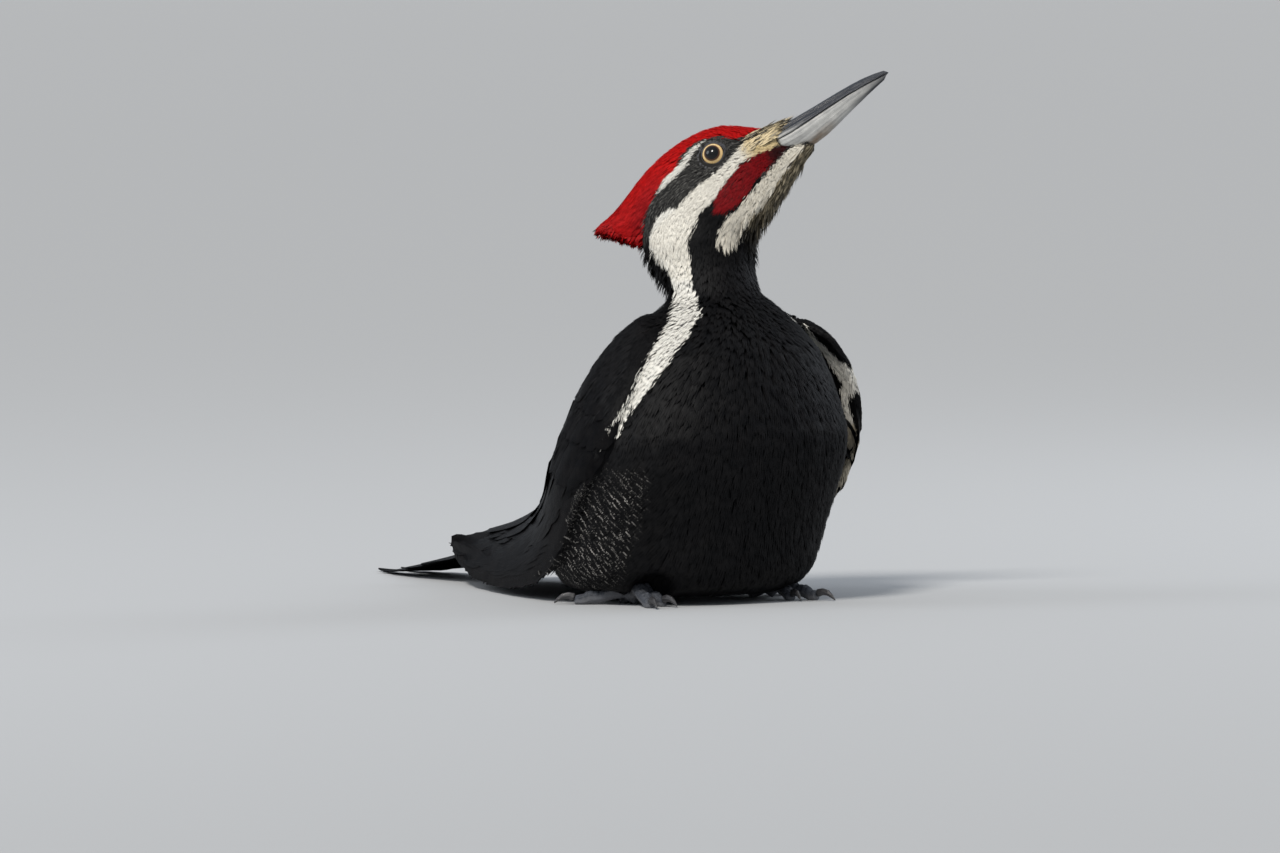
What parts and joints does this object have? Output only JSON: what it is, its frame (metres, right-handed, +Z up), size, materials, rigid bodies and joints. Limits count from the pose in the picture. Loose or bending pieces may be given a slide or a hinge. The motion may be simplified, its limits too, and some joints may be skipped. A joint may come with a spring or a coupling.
{
  "type": "pileated woodpecker, still model",
  "caption": "Life-size crested woodpecker sitting low on its feet and tail, head turned to its left and long bill raised.",
  "frame": {"origin": "on the floor, under the middle of the bird's bounding box", "axes": "-Y the way the breast faces, +X to the bird's left, +Z up"},
  "size_m": [0.1474, 0.3104, 0.2385],
  "materials": {
    "feather_black": "matte",
    "feather_white": "matte",
    "feather_red": "matte",
    "bill_dark": "satin",
    "bill_pale": "satin",
    "eye": "gloss",
    "foot_skin": "satin",
    "claw": "satin"
  },
  "bodies": {
    "root": {"trunk": "feather_black", "neck": "feather_black", "head": "feather_white", "crest": "feather_red", "bill_upper": "bill_dark", "bill_lower": "bill_pale", "eye_right": "eye", "eye_left": "eye", "wing_right": "feather_black", "wing_left": "feather_black", "tail": "feather_black", "foot_right": "foot_skin", "foot_left": "foot_skin", "claw_right_inner_front": "claw", "claw_right_outer_front": "claw", "claw_right_outer_back": "claw", "claw_right_inner_back": "claw", "claw_left_inner_front": "claw", "claw_left_outer_front": "claw", "claw_left_outer_back": "claw", "claw_left_inner_back": "claw"}
  },
  "joints": []
}
